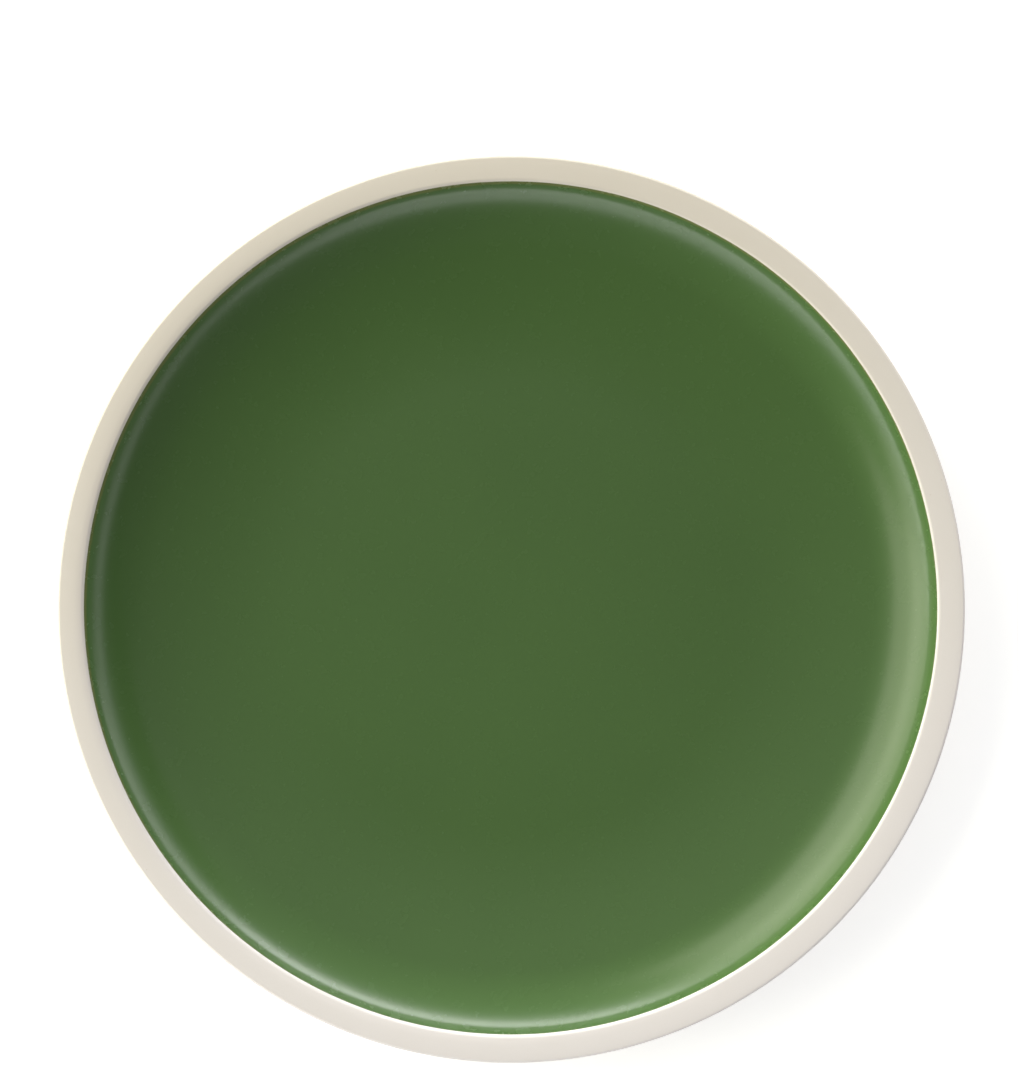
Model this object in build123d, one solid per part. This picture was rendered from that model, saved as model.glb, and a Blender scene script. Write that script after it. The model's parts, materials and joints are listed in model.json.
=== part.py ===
from build123d import *
import math
import os

# A round dinner plate with a flat floor that dishes up gently to a rounded corner, a steep low
# wall and a nearly flat rim. It is one fired ceramic body with three glaze coats fused to it:
#   ceramic_body         the fired clay: floor, wall, rim core and foot ring
#   interior_glaze       coloured coat over the floor and wall, ending on the rim's inner edge
#   rim_exterior_glaze   matt coat over the rim and the outside, ending on the foot ring
#   base_recess_glaze    the same coat inside the foot ring
# The foot ring's standing face stays bare clay, as it is wiped clean before firing.
#
# Frame: millimetres, +Z up, origin on the standing plane at the plate's axis.
# Every piece is a half outline in the XZ plane (X is the radius) turned once about Z.

# ---- driving dimensions (mm, degrees) ----
plate_diameter = 270.0
floor_height = 7.7             # top of the glazed floor above the table
floor_radius = 67.0            # where the flat floor starts to dish up

dish_radius = 268.5            # gentle curve from the flat floor towards the corner
dish_slope = 9.0               # its slope where the corner starts
corner_radius = 27.8           # rounded corner between dish and wall
corner_slope = 47.0            # wall slope where the corner tightens
knee_radius = 7.0
wall_slope = 70.0              # slope of the short straight wall
wall_length = 1.3
lip_radius = 1.3               # rim's inner edge
crown_slope = 2.0              # the rim's top falls by this much at both of its edges
edge_radius = 0.9              # rim's outer edge
glaze_line_slope = 50.0        # slope on the inner edge where the coloured glaze stops

outside_slope = 67.0           # slope of the outside just under the rim
underside_slope = 8.0
underside_height = 5.6         # where the outside curve runs out into the underside

recess_height = 2.4            # ceiling inside the foot ring
foot_inner_radius = 86.5       # standing face
foot_outer_radius = 89.7
foot_round = 0.9               # rounding beside the standing face
foot_draft = 18.0              # foot flanks, from the vertical
foot_fillet = 1.4              # between foot flank and underside
bare_foot_height = 1.1         # clay left bare at the bottom of the foot

interior_coat = 0.35
exterior_coat = 0.28

past_axis = 5.0                # outlines run on this far past the axis, and are trimmed at it


def heading(degrees_from_x):
    """Unit direction in the outline's plane."""
    angle = math.radians(degrees_from_x)
    return (math.cos(angle), math.sin(angle))


def turn(before, radius, degrees_turned):
    """Arc that carries on tangentially from the end of another edge; positive turns left."""
    return JernArc(before @ 1, before % 1, radius, degrees_turned)


def straight(before, length):
    """Line that carries on tangentially from the end of another edge."""
    return Line(before @ 1, before @ 1 + (before % 1) * length)


def inner_run():
    """Floor, dish, corner, wall and inner edge, from the axis to the start of the rim's crown."""
    floor = Line((-past_axis, floor_height), (floor_radius, floor_height))
    dish = turn(floor, dish_radius, dish_slope)
    corner = turn(dish, corner_radius, corner_slope - dish_slope)
    knee = turn(corner, knee_radius, wall_slope - corner_slope)
    wall = straight(knee, wall_length)
    lip = turn(wall, lip_radius, crown_slope - wall_slope)
    return [floor, dish, corner, knee, wall, lip]


def rim_run(lip):
    """Crown of the rim and its outer edge, out to the full plate radius."""
    edge_centre_x = plate_diameter / 2 - edge_radius
    crown_end_x = edge_centre_x + edge_radius * math.sin(math.radians(crown_slope))
    crown_width = crown_end_x - (lip @ 1).X
    crown_radius = crown_width / (2 * math.sin(math.radians(crown_slope)))
    crown = turn(lip, crown_radius, -2 * crown_slope)
    edge = turn(crown, edge_radius, crown_slope + outside_slope - 180)
    return [crown, edge]


def outside_run(edge):
    """Outside curve from the rim down and in to the underside."""
    drop = (edge @ 1).Y - underside_height
    swept = outside_slope - underside_slope
    rise_share = math.cos(math.radians(underside_slope)) - math.cos(math.radians(outside_slope))
    return turn(edge, drop / rise_share, -swept)


def foot_run(start):
    """Underside, foot ring and recess ceiling, from the outside curve in past the axis."""
    flank = math.tan(math.radians(foot_draft))
    slope = math.tan(math.radians(underside_slope))
    rounding = foot_round * math.tan(math.radians(90 - foot_draft) / 2)
    outer_x = foot_outer_radius + rounding
    inner_x = foot_inner_radius - rounding
    outer_top = (start.Y - (start.X - outer_x) * slope) / (1 - flank * slope)
    corners = [
        (start.X, start.Y),
        (outer_x + outer_top * flank, outer_top),
        (outer_x, 0),
        (inner_x, 0),
        (inner_x - recess_height * flank, recess_height),
        (-past_axis, recess_height),
    ]
    return FilletPolyline(*corners, radius=[foot_fillet, foot_round, foot_round, foot_fillet])


def plate_face():
    """Half outline of the finished, glazed plate, and its run from the axis to the rim."""
    inner = inner_run()
    rim = rim_run(inner[-1])
    outside = outside_run(rim[-1])
    foot = foot_run(outside @ 1)
    closing = Line(foot @ 1, inner[0] @ 0)
    return make_face([*inner, *rim, outside, *foot.edges(), closing]), inner


def shrunk(plate, depth):
    """The plate's outline with a skin of that depth taken off all round."""
    return offset(plate, -depth, kind=Kind.INTERSECTION, mode=Mode.PRIVATE)


def zones(inner):
    """Areas of the plane that each coat may cover. The coloured coat and the matt coat meet on
    the rim's inner edge along a line square to the surface; elsewhere the zones part in the clay.
    """
    dish, corner, lip = inner[1], inner[2], inner[-1]
    far = plate_diameter
    lip_centre = (lip @ 1) - Vector(*heading(90 + crown_slope)) * lip_radius
    glaze_line = lip_centre + Vector(*heading(90 + glaze_line_slope)) * far
    mid_thickness = (floor_height - recess_height) / 2
    mid_height = floor_height - mid_thickness
    mid_dish = (dish @ 1) - Vector(*heading(90 + dish_slope)) * mid_thickness
    mid_corner = (corner @ 1) - Vector(*heading(90 + corner_slope)) * mid_thickness
    foot_middle = (foot_inner_radius + foot_outer_radius) / 2

    def area(*points):
        return make_face(Polyline(*points, close=True))

    interior = area(
        (0, mid_height), (floor_radius, mid_height), mid_dish, mid_corner, lip_centre,
        glaze_line, (0, far))
    exterior = area(
        (foot_middle, bare_foot_height), (far, bare_foot_height), (far, far), glaze_line,
        lip_centre, mid_corner, mid_dish, (foot_middle, mid_height))
    recess = area(
        (0, bare_foot_height), (foot_middle, bare_foot_height), (foot_middle, mid_height),
        (0, mid_height))
    return interior, exterior, recess


def spin(face):
    """One full turn of a half outline about the plate's axis."""
    return revolve(Plane.XZ * face, Axis.Z)


def build():
    plate, inner = plate_face()
    under_colour = shrunk(plate, interior_coat)
    under_matt = shrunk(plate, exterior_coat)
    interior_zone, exterior_zone, recess_zone = zones(inner)
    interior = (plate - under_colour) & interior_zone
    exterior = (plate - under_matt) & exterior_zone
    base = (plate - under_matt) & recess_zone
    beyond_axis = Pos(-past_axis, floor_height) * Rectangle(2 * past_axis, 4 * floor_height)
    body = plate - beyond_axis - interior - exterior - base
    return {
        "ceramic_body": spin(body),
        "interior_glaze": spin(interior),
        "rim_exterior_glaze": spin(exterior),
        "base_recess_glaze": spin(base),
    }


os.makedirs("parts", exist_ok=True)
for node, solid in build().items():
    export_step(solid, f"parts/{node}.step")
    size = solid.bounding_box().size
    print(f"{node}: {solid.volume:.0f} mm3, {size.X:.2f} x {size.Y:.2f} x {size.Z:.2f}")
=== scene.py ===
import json
import math

import bmesh
import bpy
import numpy as np
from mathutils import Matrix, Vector


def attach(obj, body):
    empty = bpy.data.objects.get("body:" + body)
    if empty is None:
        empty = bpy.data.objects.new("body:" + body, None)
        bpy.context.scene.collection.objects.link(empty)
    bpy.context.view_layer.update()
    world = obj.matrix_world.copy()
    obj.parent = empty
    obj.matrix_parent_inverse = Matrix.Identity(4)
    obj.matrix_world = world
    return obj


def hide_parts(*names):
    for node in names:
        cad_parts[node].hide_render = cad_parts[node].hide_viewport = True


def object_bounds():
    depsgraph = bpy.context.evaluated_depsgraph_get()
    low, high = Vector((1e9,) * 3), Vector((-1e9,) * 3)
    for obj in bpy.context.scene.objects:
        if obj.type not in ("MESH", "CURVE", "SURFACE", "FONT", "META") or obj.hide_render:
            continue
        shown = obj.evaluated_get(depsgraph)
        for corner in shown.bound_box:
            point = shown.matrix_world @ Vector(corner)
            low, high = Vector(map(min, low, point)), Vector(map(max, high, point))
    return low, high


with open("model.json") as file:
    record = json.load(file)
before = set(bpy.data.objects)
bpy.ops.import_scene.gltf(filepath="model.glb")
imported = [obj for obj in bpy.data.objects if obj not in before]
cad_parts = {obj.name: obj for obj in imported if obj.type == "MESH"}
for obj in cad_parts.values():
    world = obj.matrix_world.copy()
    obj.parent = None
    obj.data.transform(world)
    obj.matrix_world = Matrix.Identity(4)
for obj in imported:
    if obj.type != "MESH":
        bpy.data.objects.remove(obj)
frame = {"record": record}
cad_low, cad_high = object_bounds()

# A round dinner plate: one clay body and three coats of glaze, each a closed mesh turned about
# the plate's axis. Metres, +Z up, origin on the standing plane at the axis.

MM = 0.001

# ---- sizes taken from the frame ----
PLATE_RADIUS = (cad_high.x - cad_low.x) / 2
PLATE_HEIGHT = cad_high.z
MOUNT_HEIGHT = {mount["name"]: mount["pos_m"][2] for mount in frame["record"]["mounts"]}
FLOOR_HEIGHT = MOUNT_HEIGHT["well_floor"]

# ---- the outline's shape, as the CAD has it; slopes and turns in degrees ----
FLOOR_RADIUS = 67.0 * MM
DISH_RADIUS, DISH_SLOPE = 268.5 * MM, 9.0
CORNER_RADIUS, CORNER_SLOPE = 27.8 * MM, 47.0
KNEE_RADIUS, WALL_SLOPE = 7.0 * MM, 70.0
WALL_LENGTH = 1.3 * MM
LIP_RADIUS, CROWN_SLOPE = 1.3 * MM, 2.0
EDGE_RADIUS, OUTSIDE_SLOPE = 0.9 * MM, 67.0
UNDERSIDE_SLOPE, UNDERSIDE_HEIGHT = 8.0, 5.6 * MM
RECESS_HEIGHT = 2.4 * MM
FOOT_INNER_RADIUS, FOOT_OUTER_RADIUS = 86.5 * MM, 89.7 * MM
FOOT_ROUND, FOOT_DRAFT, FOOT_FILLET = 0.9 * MM, 18.0, 1.4 * MM
BARE_FOOT_HEIGHT = 1.1 * MM

# ---- the coats ----
GREEN_COAT, CREAM_COAT = 0.35 * MM, 0.28 * MM
GLAZE_LINE_SLOPE = 66.0        # slope on the inner edge where the green glaze stops
GREEN_BEAD = 0.05 * MM         # how far the green glaze's edge stands up
BEAD_WIDTH = 0.35 * MM

# ---- how far the plate is from true; the glaze line's part is measured along the surface ----
WELL_OFFSET = (-0.44 * MM, 0.32 * MM)      # the well's centre against the outer edge's
LINE_OFFSET = (0.45 * MM, 0.15 * MM)       # the glaze line's own, on top of the well's
LINE_WAVER = 0.05 * MM

AROUND = 480                   # mesh columns round the plate
OUTLINE_STEP = 0.02 * MM       # spacing of the outline's own table


def tan(degrees):
    return math.tan(math.radians(degrees))


class Outline:
    """A half outline, X being the radius, walked so that each stretch is tangent to the last.
    The air is always on its left. length holds the distance walked at each point."""

    def __init__(self, x, z, heading):
        self.x, self.z, self.heading, self.length = [x], [z], [heading], [0.0]

    def walked(self):
        return self.length[-1]

    def line(self, length):
        angle = math.radians(self.heading[-1])
        x, z, start = self.x[-1], self.z[-1], self.walked()
        steps = max(1, round(length / OUTLINE_STEP))
        for step in range(1, steps + 1):
            along = length * step / steps
            self.x.append(x + math.cos(angle) * along)
            self.z.append(z + math.sin(angle) * along)
            self.heading.append(self.heading[-1])
            self.length.append(start + along)

    def arc(self, radius, turned):
        first, start = self.heading[-1], self.walked()
        side = math.copysign(radius, turned)
        centre_x = self.x[-1] - math.sin(math.radians(first)) * side
        centre_z = self.z[-1] + math.cos(math.radians(first)) * side
        steps = max(1, round(radius * math.radians(abs(turned)) / OUTLINE_STEP))
        for step in range(1, steps + 1):
            heading = first + turned * step / steps
            self.x.append(centre_x + math.sin(math.radians(heading)) * side)
            self.z.append(centre_z - math.cos(math.radians(heading)) * side)
            self.heading.append(heading)
            self.length.append(start + radius * math.radians(abs(turned)) * step / steps)

    def at(self, walked):
        """Rows of x, z and the unit normal's x and z, at distances walked along the outline."""
        x = np.interp(walked, self.length, self.x)
        z = np.interp(walked, self.length, self.z)
        heading = np.radians(np.interp(walked, self.length, self.heading))
        return x, z, -np.sin(heading), np.cos(heading)

    def where_height(self, height, first, last):
        """Distance walked at which the outline passes a height, between two distances."""
        length, z = np.array(self.length), np.array(self.z)
        inside = np.flatnonzero((length >= first) & (length <= last))
        crossing = inside[np.argmin(np.abs(z[inside] - height))]
        return float(length[crossing])


def walk_plate():
    """The finished plate's outline, from the floor at the axis over the rim to the recess's
    ceiling at the axis, and the distances walked at its named places."""
    outline = Outline(0.0, FLOOR_HEIGHT, 0.0)
    place = {}
    outline.line(FLOOR_RADIUS)
    outline.arc(DISH_RADIUS, DISH_SLOPE)
    outline.arc(CORNER_RADIUS, CORNER_SLOPE - DISH_SLOPE)
    outline.arc(KNEE_RADIUS, WALL_SLOPE - CORNER_SLOPE)
    outline.line(WALL_LENGTH)
    place["lip"] = outline.walked()
    place["glaze_line"] = outline.walked() + LIP_RADIUS * math.radians(WALL_SLOPE - GLAZE_LINE_SLOPE)
    outline.arc(LIP_RADIUS, CROWN_SLOPE - WALL_SLOPE)

    crown_end = PLATE_RADIUS - EDGE_RADIUS * (1 - math.sin(math.radians(CROWN_SLOPE)))
    crown_radius = (crown_end - outline.x[-1]) / (2 * math.sin(math.radians(CROWN_SLOPE)))
    outline.arc(crown_radius, -2 * CROWN_SLOPE)
    place["edge"] = outline.walked()
    outline.arc(EDGE_RADIUS, CROWN_SLOPE + OUTSIDE_SLOPE - 180)
    rise_share = math.cos(math.radians(UNDERSIDE_SLOPE)) - math.cos(math.radians(OUTSIDE_SLOPE))
    outline.arc((outline.z[-1] - UNDERSIDE_HEIGHT) / rise_share, UNDERSIDE_SLOPE - OUTSIDE_SLOPE)

    flank_turn = 90 - FOOT_DRAFT
    rounding = FOOT_ROUND * tan(flank_turn / 2)
    fillet_turn = flank_turn - UNDERSIDE_SLOPE
    fillet = FOOT_FILLET * tan(fillet_turn / 2)
    start_x, start_z = outline.x[-1], outline.z[-1]
    foot_x = FOOT_OUTER_RADIUS + rounding
    corner_z = start_z - (start_x - foot_x) * tan(UNDERSIDE_SLOPE)
    corner_z /= 1 - tan(FOOT_DRAFT) * tan(UNDERSIDE_SLOPE)
    corner_x = foot_x + corner_z * tan(FOOT_DRAFT)
    outline.line((start_x - corner_x) / math.cos(math.radians(UNDERSIDE_SLOPE)) - fillet)
    place["foot"] = outline.walked()
    outline.arc(FOOT_FILLET, fillet_turn)
    outline.line(corner_z / math.cos(math.radians(FOOT_DRAFT)) - fillet - rounding)
    outline.arc(FOOT_ROUND, -flank_turn)
    place["standing_face"] = outline.walked()
    outline.line(FOOT_OUTER_RADIUS - FOOT_INNER_RADIUS)
    outline.arc(FOOT_ROUND, -flank_turn)
    inner_fillet = FOOT_FILLET * tan(flank_turn / 2)
    outline.line(RECESS_HEIGHT / math.cos(math.radians(FOOT_DRAFT)) - inner_fillet - rounding)
    outline.arc(FOOT_FILLET, flank_turn)
    place["ceiling"] = outline.walked()
    outline.line(outline.x[-1])
    place["end"] = outline.walked()

    place["bare_outer"] = outline.where_height(BARE_FOOT_HEIGHT, place["foot"], place["standing_face"])
    place["bare_inner"] = outline.where_height(BARE_FOOT_HEIGHT, place["standing_face"], place["end"])
    return outline, place


def smooth(value):
    """0 below 0, 1 above 1, and a smooth step between."""
    value = np.clip(value, 0.0, 1.0)
    return value * value * (3 - 2 * value)


def stations(outline, first, last, widest, sharpest=3.0):
    """Distances walked from first to last, closer together where the outline bends: no gap is
    wider than widest, or turns by more than sharpest degrees."""
    length = np.array(outline.length)
    inside = (length > first) & (length < last)
    walked = np.concatenate([[first], length[inside], [last]])
    bend = np.abs(np.diff(np.interp(walked, length, outline.heading)))
    cost = np.concatenate([[0.0], np.cumsum(np.diff(walked) / widest + bend / sharpest)])
    return np.interp(np.linspace(0, cost[-1], math.ceil(cost[-1]) + 1), cost, walked)


def rounded_end(walked, top, depth, reach, direction):
    """Half an oval that closes a coat's section, from its top surface to its underside."""
    turn = np.radians(np.linspace(90, -90, 9)[1:-1])
    middle, half = (top - depth) / 2, (top + depth) / 2
    return walked + direction * reach * np.cos(turn), middle + half * np.sin(turn)


class Section:
    """A closed cross-section in the outline's own terms: distance walked, and height above the
    finished surface."""

    def __init__(self):
        self.walked, self.height = [], []

    def add(self, walked, height):
        walked = np.atleast_1d(walked)
        self.walked.extend(walked)
        self.height.extend(np.broadcast_to(height, walked.shape))


def line_shift(angle):
    """How far the glaze line strays outward along the surface, round the plate."""
    offset_x, offset_y = LINE_OFFSET
    waver = sum(np.sin(count * angle + 2.4 * count) for count in (5, 9, 14, 23)) * LINE_WAVER / 2
    return offset_x * np.cos(angle) + offset_y * np.sin(angle) + waver


def wiped_shift(angle):
    """The same for the glaze's edges on the foot ring, which are wiped by hand."""
    return sum(np.sin(count * angle + 1.7 * count) for count in (3, 7, 11, 19, 31)) * 0.05 * MM


def turned_mesh(name, section, outline, place):
    """Turns a section round the axis into a closed mesh, with the fired plate's small errors."""
    walked, height = np.array(section.walked), np.array(section.height)
    angle = np.arange(AROUND) * 2 * math.pi / AROUND
    near_line = 1 - smooth((np.abs(walked - place["glaze_line"]) - 1.0 * MM) / (2.5 * MM))
    near_foot = 1 - smooth((np.abs(walked - place["standing_face"]) - 7 * MM) / (4 * MM))
    strayed = walked[None, :] + near_line * line_shift(angle)[:, None]
    strayed = strayed + near_foot * wiped_shift(angle)[:, None]
    x, z, normal_x, normal_z = outline.at(strayed)
    radius = np.maximum(x + normal_x * height, 0.0)
    in_well = 1 - smooth((walked - place["lip"]) / (place["edge"] - place["lip"]))
    cos, sin = np.cos(angle)[:, None], np.sin(angle)[:, None]
    points = np.stack([radius * cos + in_well * WELL_OFFSET[0],
                       radius * sin + in_well * WELL_OFFSET[1],
                       z + normal_z * height], axis=-1)

    rows = len(walked)
    closed = radius[0, 0] > 1e-6
    grid = np.arange(AROUND * rows).reshape(AROUND, rows)
    if not closed:
        grid[:, 0], grid[:, -1] = grid[0, 0], grid[0, -1]
    here, there = grid, np.roll(grid, -1, axis=0)
    if closed:
        here_next, there_next = np.roll(here, -1, axis=1), np.roll(there, -1, axis=1)
    else:
        here, here_next, there, there_next = here[:, :-1], here[:, 1:], there[:, :-1], there[:, 1:]
    quads = np.stack([here, here_next, there_next, there], axis=-1).reshape(-1, 4)
    faces = [list(dict.fromkeys(quad)) for quad in quads.tolist()]

    mesh = bpy.data.meshes.new(name)
    used = np.unique(grid)
    renumber = np.zeros(grid.size, int)
    renumber[used] = np.arange(len(used))
    vertices = points.reshape(-1, 3)[used]
    mesh.from_pydata(vertices.tolist(), [], [[int(renumber[i]) for i in face] for face in faces])
    edit = bmesh.new()
    edit.from_mesh(mesh)
    bmesh.ops.recalc_face_normals(edit, faces=edit.faces)
    edit.to_mesh(mesh)
    edit.free()
    mesh.shade_smooth()
    piece = bpy.data.objects.new(name, mesh)
    bpy.context.scene.collection.objects.link(piece)
    return piece


def green_section(outline, place):
    """Floor, corner, wall and inner lip, ending in a bead on the glaze line."""
    section = Section()
    reach = 0.15 * MM
    last = place["glaze_line"] - reach
    main = stations(outline, 0.0, last - BEAD_WIDTH, 4 * MM)
    bead = np.linspace(last - BEAD_WIDTH, last, 6)[1:]
    section.add(main, 0.0)
    section.add(bead, GREEN_BEAD * smooth((bead - bead[0]) / BEAD_WIDTH))
    section.add(*rounded_end(last, GREEN_BEAD, GREEN_COAT, reach, 1))
    section.add(bead[::-1], -GREEN_COAT)
    section.add(main[::-1], -GREEN_COAT)
    return section


def cream_section(outline, place):
    """Rim, outer edge, outside and underside, from under the green bead to the foot ring."""
    section = Section()
    line, last = place["glaze_line"], place["bare_outer"]
    reach = 0.12 * MM
    tucked = np.linspace(line - 0.6 * MM, line + 0.06 * MM, 6)
    main = stations(outline, line + 0.06 * MM, last - reach, 3.5 * MM, 4.5)[1:]
    sunk = 0.14 * MM * (1 - smooth((tucked - line + 0.25 * MM) / (0.28 * MM)))
    section.add(tucked, -sunk)
    section.add(main, 0.0)
    section.add(*rounded_end(last - reach, 0.0, CREAM_COAT, reach, 1))
    section.add(main[::-1], -CREAM_COAT)
    section.add(tucked[::-1], -CREAM_COAT)
    return section


def recess_section(outline, place):
    """Inner side of the foot ring and the recess's ceiling."""
    section = Section()
    first = place["bare_inner"]
    reach = 0.12 * MM
    main = stations(outline, first + reach, place["end"], 2 * MM)
    section.add(main[::-1], 0.0)
    section.add(*rounded_end(first + reach, 0.0, CREAM_COAT, reach, -1))
    section.add(main, -CREAM_COAT)
    return section


def clay_section(outline, place):
    """The body under the coats, which reaches the finished surface only on the foot ring."""
    section = Section()
    seam = place["glaze_line"]
    under_green = stations(outline, 0.0, seam - 0.5 * MM, 8 * MM, 5.0)
    under_cream = stations(outline, seam + 0.5 * MM, place["foot"], 6 * MM, 5.0)
    foot = stations(outline, place["foot"], place["ceiling"], 0.4 * MM, 4.0)[1:]
    ceiling = stations(outline, place["ceiling"], place["end"], 8 * MM)[1:]
    covered = smooth((place["bare_outer"] - foot) / (0.3 * MM))
    covered = covered + smooth((foot - place["bare_inner"]) / (0.3 * MM))
    section.add(under_green, -GREEN_COAT)
    section.add(under_cream, -CREAM_COAT)
    section.add(foot, -CREAM_COAT * covered - 0.02 * MM)
    section.add(ceiling, -CREAM_COAT)
    return section


# ---- materials ----

class Finish:
    """A material's node tree, with short ways to add the nodes that the glazes share."""

    def __init__(self, name, roughness, ior):
        self.material = bpy.data.materials.new(name)
        self.material.use_nodes = True
        self.tree = self.material.node_tree
        self.tree.nodes.clear()
        output = self.tree.nodes.new("ShaderNodeOutputMaterial")
        self.surface = self.tree.nodes.new("ShaderNodeBsdfPrincipled")
        self.surface.inputs["Roughness"].default_value = roughness
        self.surface.inputs["IOR"].default_value = ior
        self.tree.links.new(self.surface.outputs["BSDF"], output.inputs["Surface"])
        self.place = self.tree.nodes.new("ShaderNodeTexCoord").outputs["Object"]
        split = self.tree.nodes.new("ShaderNodeSeparateXYZ")
        self.put(split.inputs[0], self.place)
        self.x, self.y, self.z = split.outputs

    def put(self, socket, value):
        """Links a socket to another, or sets its number."""
        if isinstance(value, bpy.types.NodeSocket):
            self.tree.links.new(value, socket)
        else:
            socket.default_value = value

    def math(self, operation, *values):
        node = self.tree.nodes.new("ShaderNodeMath")
        node.operation = operation
        for socket, value in zip(node.inputs, values):
            self.put(socket, value)
        return node.outputs[0]

    def noise(self, size, detail=2.0, seed=0.0):
        """Noise from 0 to 1, with features about as large as size."""
        node = self.tree.nodes.new("ShaderNodeTexNoise")
        node.noise_dimensions = "4D"
        self.put(node.inputs["Vector"], self.place)
        node.inputs["W"].default_value = seed
        node.inputs["Scale"].default_value = 1 / size
        node.inputs["Detail"].default_value = detail
        return node.outputs["Fac"]

    def specks(self, spacing, size):
        """1 in small round specks, one to each cell of that spacing, and 0 between them."""
        node = self.tree.nodes.new("ShaderNodeTexVoronoi")
        self.put(node.inputs["Vector"], self.place)
        node.inputs["Scale"].default_value = 1 / spacing
        return self.between(node.outputs["Distance"], size / spacing, 0.4 * size / spacing)

    def between(self, value, low, high):
        """value as a share of the way from low to high, smoothed and kept within 0 and 1."""
        node = self.tree.nodes.new("ShaderNodeMapRange")
        node.interpolation_type = "SMOOTHSTEP"
        for name, part in (("Value", value), ("From Min", low), ("From Max", high)):
            self.put(node.inputs[name], part)
        return node.outputs["Result"]

    def mix(self, share, first, second):
        """Colour mixed from two colours, each a socket or three numbers."""
        node = self.tree.nodes.new("ShaderNodeMix")
        node.data_type = "RGBA"
        for name, part in (("Factor_Float", share), ("A_Color", first), ("B_Color", second)):
            socket = next(s for s in node.inputs if s.identifier == name)
            self.put(socket, part if not isinstance(part, tuple) else (*part, 1.0))
        return next(s for s in node.outputs if s.identifier == "Result_Color")

    def radius(self):
        """Distance from the plate's axis."""
        squares = [self.math("MULTIPLY", part, part) for part in (self.x, self.y)]
        return self.math("SQRT", self.math("ADD", *squares))

    def across(self, azimuth):
        """0 to 1 across the plate, 1 being the side at that azimuth."""
        turn = math.radians(azimuth)
        along = self.math("MULTIPLY", self.y, math.sin(turn))
        along = self.math("MULTIPLY_ADD", self.x, math.cos(turn), along)
        return self.between(along, -PLATE_RADIUS, PLATE_RADIUS)

    def relief(self, height, depth):
        """Fine relief, depth being what a height of 1 stands for."""
        bump = self.tree.nodes.new("ShaderNodeBump")
        bump.inputs["Strength"].default_value = 1.0
        bump.inputs["Distance"].default_value = depth
        self.put(bump.inputs["Height"], height)
        self.put(self.surface.inputs["Normal"], bump.outputs["Normal"])

    def colour(self, value):
        self.put(self.surface.inputs["Base Color"], value)

    def roughness(self, low, high, share):
        node = self.tree.nodes.new("ShaderNodeMapRange")
        self.put(node.inputs["Value"], share)
        node.inputs["To Min"].default_value = low
        node.inputs["To Max"].default_value = high
        self.put(self.surface.inputs["Roughness"], node.outputs["Result"])


GREEN = (0.061, 0.1285, 0.0325)
GREEN_DEEP = (0.059, 0.125, 0.0315)
GREEN_FLECK = (0.072, 0.150, 0.042)
OLIVE = (0.150, 0.160, 0.052)
# The creams are a little blue, to make up for the warm softboxes that light the rim.
CREAM_PAINTED_LIT = (0.771, 0.728, 0.735)       # painted light: the rim's palest side, painted as if lit most
CREAM_PAINTED_SHADE = (0.659, 0.606, 0.545)       # painted shade: the rim's other side, painted darker and warmer
PAINTED_LIT_SIDE = 288.0                        # azimuth of the side painted palest, as if lit most
CREAM_SHADED_OUTSIDE = (0.500, 0.465, 0.405)       # painted shade: the outside of the plate, painted darker
SHADE_FROM, SHADE_TO = 1.4 * MM, 4 * MM    # how far below the rim the outside's painted shade sets in
CREAM_GRAIN = (0.60, 0.54, 0.45)
CREAM_SPECK = (0.42, 0.32, 0.22)
BUFF = (0.560, 0.470, 0.370)
BUFF_PALE = (0.60, 0.51, 0.41)
CLAY_SAND = (0.44, 0.36, 0.28)
IRON = (0.200, 0.130, 0.080)
PAPER = (0.92, 0.92, 0.92)


def green_finish(line_radius):
    """Satin green glaze that breaks to olive brown where it runs thin at its edge."""
    finish = Finish("green_satin_glaze", roughness=0.27, ior=1.5)
    cloud = finish.noise(38 * MM, 3.0)
    mottle = finish.noise(1.6 * MM, 3.0, seed=3.0)
    body = finish.mix(finish.between(cloud, 0.3, 0.7), GREEN_DEEP, GREEN)
    fleck = finish.between(mottle, 0.62, 0.78)
    body = finish.mix(finish.math("MULTIPLY", fleck, 0.025), body, GREEN_FLECK)
    ragged = finish.math("MULTIPLY", finish.noise(2.2 * MM, 2.0, seed=7.0), 0.3 * MM)
    reach = finish.math("ADD", finish.radius(), ragged)
    thin_glaze_and_painted_shade = finish.between(reach, line_radius - 0.35 * MM, line_radius + 0.15 * MM)
    finish.colour(finish.mix(finish.math("MULTIPLY", thin_glaze_and_painted_shade, 0.8), body, OLIVE))
    finish.roughness(0.25, 0.29, finish.noise(4 * MM, 3.0, seed=5.0))
    coarse, fine = finish.noise(1.8 * MM, 1.0, seed=9.0), finish.noise(0.5 * MM, 1.0, seed=11.0)
    peel = finish.math("ADD", coarse, fine)
    finish.relief(peel, 0.0012 * MM)
    return finish.material


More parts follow.
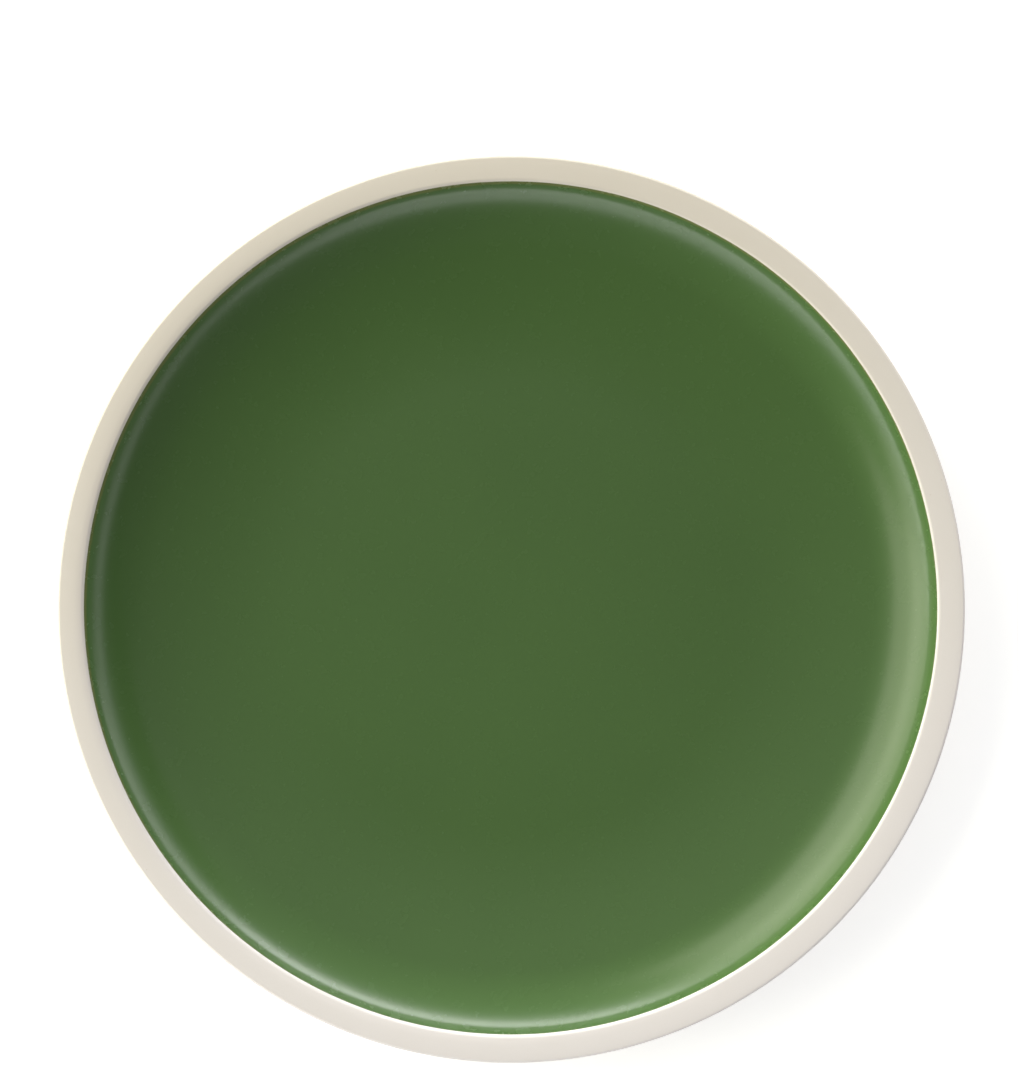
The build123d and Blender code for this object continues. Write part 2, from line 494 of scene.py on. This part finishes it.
def cream_finish():
    """Matt cream glaze, with painted light and shade across the rim (paler towards one side, darker and
    warmer towards the other) and painted shade on the outside below the rim: faintly cloudy, with a fine
    dry grain and a few pale brown specks."""
    finish = Finish("cream_matt_glaze", roughness=0.8, ior=1.45)
    # Painted light and shade: the cream is painted paler towards one side of the plate and darker and
    # warmer towards the other.
    side = finish.across(PAINTED_LIT_SIDE)
    cloud = finish.noise(9 * MM, 4.0, seed=1.0)
    grain = finish.noise(0.35 * MM, 3.0, seed=2.0)
    # Faint random cloud, added to the painted light-and-shade ramp across the rim.
    cloud_and_painted_light = finish.math("MULTIPLY_ADD", cloud, 0.16, finish.math("SUBTRACT", side, 0.08))
    body = finish.mix(cloud_and_painted_light, CREAM_PAINTED_SHADE, CREAM_PAINTED_LIT)
    # Painted shade: the outside below the rim is painted darker, to hold down how brightly it is lit.
    thin_glaze_and_painted_shade = finish.between(finish.z, PLATE_HEIGHT - SHADE_FROM, PLATE_HEIGHT - SHADE_TO)
    body = finish.mix(finish.math("MULTIPLY", thin_glaze_and_painted_shade, 0.9), body, CREAM_SHADED_OUTSIDE)
    dry = finish.math("MULTIPLY", finish.between(grain, 0.5, 0.8), 0.08)
    body = finish.mix(dry, body, CREAM_GRAIN)
    speck = finish.math("MULTIPLY", finish.specks(7 * MM, 0.22 * MM), 0.35)
    finish.colour(finish.mix(speck, body, CREAM_SPECK))
    finish.roughness(0.74, 0.86, cloud)
    finish.relief(grain, 0.010 * MM)
    return finish.material


def clay_finish():
    """Bare fired clay with a ground, sandy face and small iron spots."""
    finish = Finish("bare_fired_clay", roughness=0.92, ior=1.45)
    cloud = finish.noise(5 * MM, 4.0, seed=4.0)
    sand = finish.noise(0.25 * MM, 3.0, seed=6.0)
    body = finish.mix(finish.between(cloud, 0.3, 0.7), BUFF, BUFF_PALE)
    grit = finish.math("MULTIPLY", finish.between(sand, 0.55, 0.75), 0.3)
    body = finish.mix(grit, body, CLAY_SAND)
    spot = finish.math("MULTIPLY", finish.specks(2.4 * MM, 0.18 * MM), 0.7)
    finish.colour(finish.mix(spot, body, IRON))
    finish.roughness(0.88, 0.97, sand)
    finish.relief(sand, 0.04 * MM)
    return finish.material


# ---- the plate ----

PIECES = (
    # piece, section, CAD node that it stands for, material slot
    ("clay_body", clay_section, "ceramic_body", "fired_clay"),
    ("green_interior_glaze", green_section, "interior_glaze", "green_glaze"),
    ("cream_rim_and_outside_glaze", cream_section, "rim_exterior_glaze", "cream_matt_glaze"),
    ("cream_recess_glaze", recess_section, "base_recess_glaze", "cream_matt_glaze"),
)


def build_plate():
    outline, place = walk_plate()
    line_radius = float(outline.at(place["glaze_line"])[0])
    cream = cream_finish()
    finishes = {
        "fired_clay": clay_finish(),
        "green_glaze": green_finish(line_radius),
        "cream_matt_glaze": cream,
    }
    for name, section, node, slot in PIECES:
        piece = turned_mesh(name, section(outline, place), outline, place)
        piece.data.materials.append(finishes[slot])
        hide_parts(node)
        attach(piece, "root")


# ---- camera ----

CAMERA_ABOVE_RIM = 1.2
VIEW_HEIGHT = 0.3211           # tall side of what the camera sees at the rim's height
SENSOR_SIZE = 36.0
AIM_FROM_AXIS = (-0.4 * MM, 20.6 * MM)


def build_camera():
    """Looks straight down, with the plate low in the view."""
    data = bpy.data.cameras.new("camera")
    data.sensor_width = SENSOR_SIZE
    data.lens = SENSOR_SIZE * CAMERA_ABOVE_RIM / VIEW_HEIGHT
    data.clip_start, data.clip_end = 0.01, 100.0
    camera = bpy.data.objects.new("camera", data)
    camera.location = (*AIM_FROM_AXIS, PLATE_HEIGHT + CAMERA_ABOVE_RIM)
    bpy.context.scene.collection.objects.link(camera)
    bpy.context.scene.camera = camera


# ---- room ----

FLOOR_HALF = 4.0               # half the floor's side
ROOM_GLOW = 0.04               # light from everywhere but the softboxes
BACKDROP = 1.0                 # how bright the room is to the camera
FLOOR_GLOW = 0.10              # the floor is a little lit from below,
FLOOR_LIFT = 0.50              # and brighter still to the camera, so that its shadows stay faint


def seen_or_lit(tree, lit, seen):
    """A number that is larger to the camera than to the light that bounces round the room."""
    strength = tree.nodes.new("ShaderNodeMapRange")
    strength.inputs["To Min"].default_value = lit
    strength.inputs["To Max"].default_value = seen
    path = tree.nodes.new("ShaderNodeLightPath")
    tree.links.new(path.outputs["Is Camera Ray"], strength.inputs["Value"])
    return strength.outputs["Result"]


def build_floor():
    half = FLOOR_HALF
    mesh = bpy.data.meshes.new("floor")
    corners = [(-half, -half, 0), (half, -half, 0), (half, half, 0), (-half, half, 0)]
    mesh.from_pydata(corners, [], [(0, 1, 2, 3)])
    floor = bpy.data.objects.new("floor", mesh)
    bpy.context.scene.collection.objects.link(floor)
    finish = Finish("floor_paper", roughness=0.9, ior=1.4)
    finish.colour((*PAPER, 1.0))
    finish.surface.inputs["Emission Color"].default_value = (1, 1, 1, 1)
    finish.put(finish.surface.inputs["Emission Strength"], seen_or_lit(finish.tree, FLOOR_GLOW, FLOOR_LIFT))
    mesh.materials.append(finish.material)


ROOM_RADIUS = 6.0              # the softboxes' distance from the plate

NEUTRAL, WARM = (1.0, 1.0, 1.0), (1.0, 0.99, 0.80)

# softbox, azimuth and elevation of its middle, width and height (all in degrees, seen from the
# plate), brightness, tint
SOFTBOXES = (
    ("key_left", 157, 34, 66, 42, 3.0, WARM),
    ("strip_left", 158, 14.5, 90, 29, 2.48, WARM),
    ("strip_left_low", 162, 3.5, 70, 7, 2.4, WARM),
    ("strip_back", 67, 5, 116, 10, 5.0, NEUTRAL),
    ("strip_back_core", 80, 6, 62, 6, 14.5, NEUTRAL),
    ("strip_front_left", 236, 3, 118, 5.4, 8.0, NEUTRAL),
    ("strip_front", 258, 14, 108, 9, 2.9, NEUTRAL),
    ("strip_right", 7, 13, 106, 9, 2.2, NEUTRAL),
    ("scrim_back", 99, 49, 87, 82, 0.50, NEUTRAL),
)
# a faint one close above the front of the plate: where its middle is, its size, its brightness
NEAR_SOFTBOX = ("scrim_front", (0.0, -0.26, 0.30), (0.85, 0.66), 0.18, NEUTRAL)


def softbox(name, place, size, brightness, tint):
    """A rectangular area light aimed at the plate, evenly bright, that the camera doesn't see."""
    data = bpy.data.lights.new(name, "AREA")
    data.shape = "RECTANGLE"
    data.size, data.size_y = size
    data.energy = math.pi * size[0] * size[1] * brightness
    data.color = tint
    light = bpy.data.objects.new(name, data)
    light.location = place
    light.rotation_euler = (-Vector(place)).to_track_quat("-Z", "Y").to_euler()
    light.visible_camera = False
    bpy.context.scene.collection.objects.link(light)


def build_room():
    """A faint glow all round, with a white backdrop for the camera."""
    world = bpy.data.worlds.new("studio")
    world.use_nodes = True
    tree = world.node_tree
    background = tree.nodes["Background"]
    background.inputs["Color"].default_value = (1, 1, 1, 1)
    tree.links.new(seen_or_lit(tree, ROOM_GLOW, BACKDROP), background.inputs["Strength"])
    bpy.context.scene.world = world
    bpy.context.scene.view_settings.view_transform = "Standard"


def build_lights():
    for name, azimuth, elevation, width, height, brightness, tint in SOFTBOXES:
        turn, rise = math.radians(azimuth), math.radians(elevation)
        level = math.cos(rise)
        place = Vector((level * math.cos(turn), level * math.sin(turn), math.sin(rise)))
        size = (2 * ROOM_RADIUS * tan(width / 2), 2 * ROOM_RADIUS * tan(height / 2))
        softbox(name, place * ROOM_RADIUS, size, brightness, tint)
    softbox(*NEAR_SOFTBOX)


build_plate()
build_camera()
build_floor()
build_room()
build_lights()
